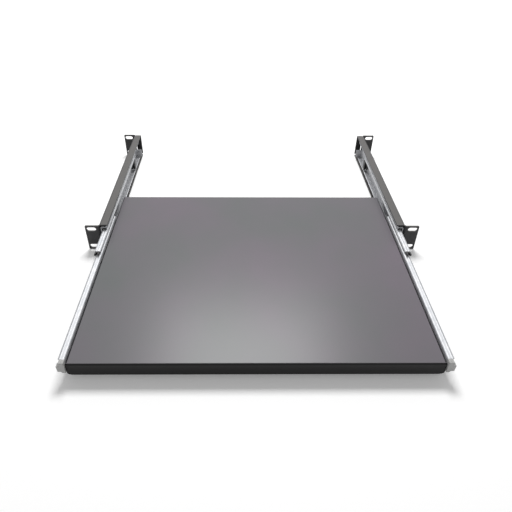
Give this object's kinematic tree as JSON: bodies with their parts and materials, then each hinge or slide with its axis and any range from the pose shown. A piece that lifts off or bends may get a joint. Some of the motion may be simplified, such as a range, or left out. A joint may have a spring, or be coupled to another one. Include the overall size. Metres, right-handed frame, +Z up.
{
  "type": "sliding rack shelf",
  "caption": "One-unit pull-out shelf for a 19 inch rack: a folded steel tray on two three-part ball slides, carried by two side brackets with slotted mounting ears.",
  "frame": {"origin": "centre of the four front rack slots, on the rear face of the front ears, where they meet the rack", "axes": "+X to the right as seen from the front of the rack, +Y to the back of the rack, +Z up; the shelf is stored pulled out towards -Y, as in the picture"},
  "size_m": [0.4826, 0.4785, 0.0436],
  "materials": {
    "powder_coat": "black satin powder coat on folded steel",
    "zinc_plate": "bright zinc plate on rolled steel",
    "cage_steel": "thin bright strip, slightly dull",
    "ball_steel": "polished bearing steel",
    "black_plastic": "moulded black plastic",
    "stop_grey": "moulded light grey plastic"
  },
  "bodies": {
    "rack_brackets": {"left_bracket": "powder_coat", "left_outer_rail": "zinc_plate", "left_rail_screws": "zinc_plate", "left_outer_bumper": "black_plastic", "right_bracket": "powder_coat", "right_outer_rail": "zinc_plate", "right_rail_screws": "zinc_plate", "right_outer_bumper": "black_plastic"},
    "left_middle_slide": {"left_middle_rail": "zinc_plate", "left_front_bumper": "black_plastic", "left_rear_bumper": "black_plastic"},
    "right_middle_slide": {"right_middle_rail": "zinc_plate", "right_front_bumper": "black_plastic", "right_rear_bumper": "black_plastic"},
    "shelf": {"shelf_tray": "powder_coat", "left_inner_rail": "zinc_plate", "left_front_stop": "stop_grey", "left_shelf_screws": "zinc_plate", "left_shelf_nuts": "zinc_plate", "right_inner_rail": "zinc_plate", "right_front_stop": "stop_grey", "right_shelf_screws": "zinc_plate", "right_shelf_nuts": "zinc_plate"},
    "left_outer_ball_cage": {"left_outer_cage": "cage_steel", "left_outer_balls": "ball_steel"},
    "right_outer_ball_cage": {"right_outer_cage": "cage_steel", "right_outer_balls": "ball_steel"},
    "left_inner_ball_cage": {"left_inner_cage": "cage_steel", "left_inner_balls": "ball_steel"},
    "right_inner_ball_cage": {"right_inner_cage": "cage_steel", "right_inner_balls": "ball_steel"}
  },
  "joints": [
    {"name": "left_middle_travel", "type": "slide", "parent": "rack_brackets", "child": "left_middle_slide", "axis": [0, -1, 0], "range_m": [-0.05, 0.05]},
    {"name": "right_middle_travel", "type": "slide", "parent": "rack_brackets", "child": "right_middle_slide", "axis": [0, -1, 0], "range_m": [-0.05, 0.05]},
    {"name": "shelf_travel", "type": "slide", "parent": "left_middle_slide", "child": "shelf", "axis": [0, -1, 0], "range_m": [-0.155, 0]},
    {"name": "left_outer_cage_travel", "type": "slide", "parent": "rack_brackets", "child": "left_outer_ball_cage", "axis": [0, -1, 0], "range_m": [-0.025, 0.025]},
    {"name": "right_outer_cage_travel", "type": "slide", "parent": "rack_brackets", "child": "right_outer_ball_cage", "axis": [0, -1, 0], "range_m": [-0.025, 0.025]},
    {"name": "left_inner_cage_travel", "type": "slide", "parent": "left_middle_slide", "child": "left_inner_ball_cage", "axis": [0, -1, 0], "range_m": [-0.0775, 0]},
    {"name": "right_inner_cage_travel", "type": "slide", "parent": "right_middle_slide", "child": "right_inner_ball_cage", "axis": [0, -1, 0], "range_m": [-0.0775, 0]}
  ],
  "couplings": [
    {"joint": "right_middle_travel", "follows": "left_middle_travel", "ratio": 1},
    {"joint": "left_outer_cage_travel", "follows": "left_middle_travel", "ratio": 0.5},
    {"joint": "right_outer_cage_travel", "follows": "left_middle_travel", "ratio": 0.5},
    {"joint": "left_inner_cage_travel", "follows": "shelf_travel", "ratio": 0.5},
    {"joint": "right_inner_cage_travel", "follows": "shelf_travel", "ratio": 0.5}
  ]
}
